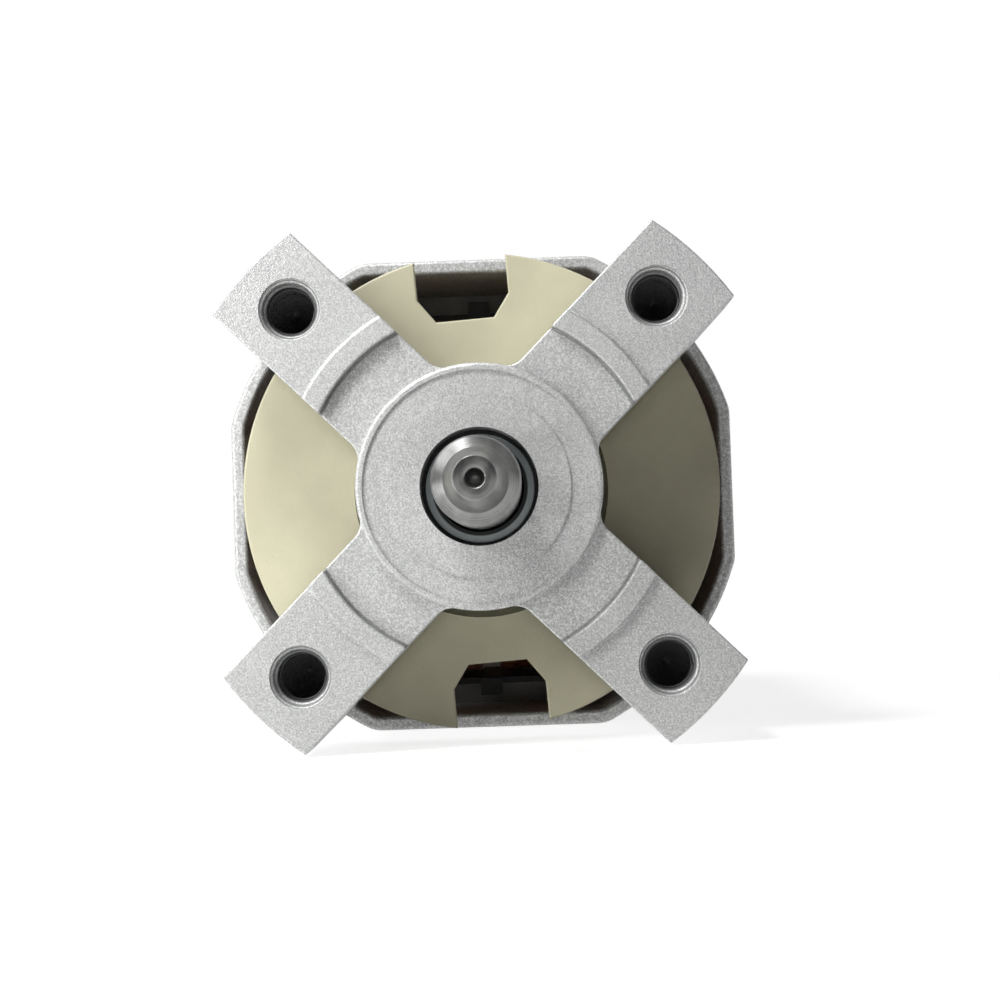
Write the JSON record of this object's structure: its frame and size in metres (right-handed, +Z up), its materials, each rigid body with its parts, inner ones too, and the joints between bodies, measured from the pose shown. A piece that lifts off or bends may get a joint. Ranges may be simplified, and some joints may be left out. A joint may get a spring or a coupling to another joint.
{
  "type": "grain mill motor",
  "caption": "Open-frame universal brushed motor for a grain mill, with an armed cast front bracket, stepped shaft end, fan disc, rounded-square stator body and sprung brushes.",
  "frame": {"origin": "on the motor axis, in the plane of the pad faces that the mill is bolted to", "axes": "+Y along the motor axis from the pads towards the terminals, so the shaft end points along -Y, and +Z up"},
  "size_m": [0.102, 0.187, 0.0922],
  "materials": {
    "cast_aluminium": "blasted casting, fine speckle",
    "turned_steel": "turned, bright",
    "bearing_steel": "ground",
    "ball_steel": "polished",
    "bearing_seal": "matt moulded rubber",
    "cage_polyamide": "moulded",
    "fan_plastic": "cream moulding, satin",
    "lamination_steel": "stacked sheets, varnished",
    "enamelled_copper": "varnished wire",
    "commutator_copper": "turned, worn bright",
    "slot_fibre": "pressed fibre",
    "dark_insulator": "moulded",
    "black_moulding": "thermoset moulding",
    "carbon": "pressed carbon graphite",
    "holder_brass": "folded sheet",
    "tab_brass": "tinned",
    "zinc_steel": "zinc plated",
    "spring_steel": "drawn wire and strip",
    "lead_insulation": "woven sleeving"
  },
  "bodies": {
    "housing": {"front_bracket": "cast_aluminium", "circlip": "spring_steel", "front_bearing_outer_ring": "bearing_steel", "front_bearing_seals": "bearing_seal", "rear_bearing_outer_ring": "bearing_steel", "rear_bearing_seals": "bearing_seal", "stator_core": "lamination_steel", "front_coil_insulator": "dark_insulator", "rear_coil_insulator": "dark_insulator", "right_field_coil": "enamelled_copper", "left_field_coil": "enamelled_copper", "right_terminal_lead": "lead_insulation", "left_terminal_lead": "lead_insulation", "stator_screws": "zinc_steel", "screw_washers": "zinc_steel", "rear_bracket": "cast_aluminium", "spring_washer": "spring_steel", "terminal_block": "black_moulding", "terminal_tabs": "tab_brass", "right_brush_holder": "holder_brass", "left_brush_holder": "holder_brass", "right_brush_lead": "lead_insulation", "left_brush_lead": "lead_insulation", "right_holder_sleeve": "black_moulding", "left_holder_sleeve": "black_moulding", "right_brush_cap": "black_moulding", "left_brush_cap": "black_moulding", "right_brush_spring": "spring_steel", "left_brush_spring": "spring_steel"},
    "rotor": {"shaft": "turned_steel", "fan": "fan_plastic", "armature_core": "lamination_steel", "armature_winding": "enamelled_copper", "armature_front_insulator": "slot_fibre", "armature_rear_insulator": "slot_fibre", "commutator_hub": "black_moulding", "commutator_bars": "commutator_copper", "front_bearing_inner_ring": "bearing_steel", "rear_bearing_inner_ring": "bearing_steel"},
    "front_ball_set": {"front_bearing_balls": "ball_steel", "front_bearing_cage": "cage_polyamide"},
    "rear_ball_set": {"rear_bearing_balls": "ball_steel", "rear_bearing_cage": "cage_polyamide"},
    "right_brush": {"right_carbon_brush": "carbon"},
    "left_brush": {"left_carbon_brush": "carbon"}
  },
  "joints": [
    {"name": "rotor_spin", "type": "hinge", "parent": "housing", "child": "rotor", "pos_m": [0, 0.08, 0], "axis": [0, 1, 0], "continuous": true},
    {"name": "front_cage_spin", "type": "hinge", "parent": "housing", "child": "front_ball_set", "pos_m": [0, 0.0125, 0], "axis": [0, 1, 0], "continuous": true},
    {"name": "rear_cage_spin", "type": "hinge", "parent": "housing", "child": "rear_ball_set", "pos_m": [0, 0.1399, 0], "axis": [0, 1, 0], "continuous": true},
    {"name": "right_brush_slide", "type": "slide", "parent": "housing", "child": "right_brush", "axis": [1, 0, 0], "range_m": [0, 0.005], "stiffness_N_per_m": 200, "springref_m": -0.015, "deforming": ["right_brush_spring"]},
    {"name": "left_brush_slide", "type": "slide", "parent": "housing", "child": "left_brush", "axis": [-1, 0, 0], "range_m": [0, 0.005], "stiffness_N_per_m": 200, "springref_m": -0.015, "deforming": ["left_brush_spring"]}
  ],
  "couplings": [
    {"joint": "front_cage_spin", "follows": "rotor_spin", "ratio": 0.381},
    {"joint": "rear_cage_spin", "follows": "rotor_spin", "ratio": 0.36477}
  ]
}
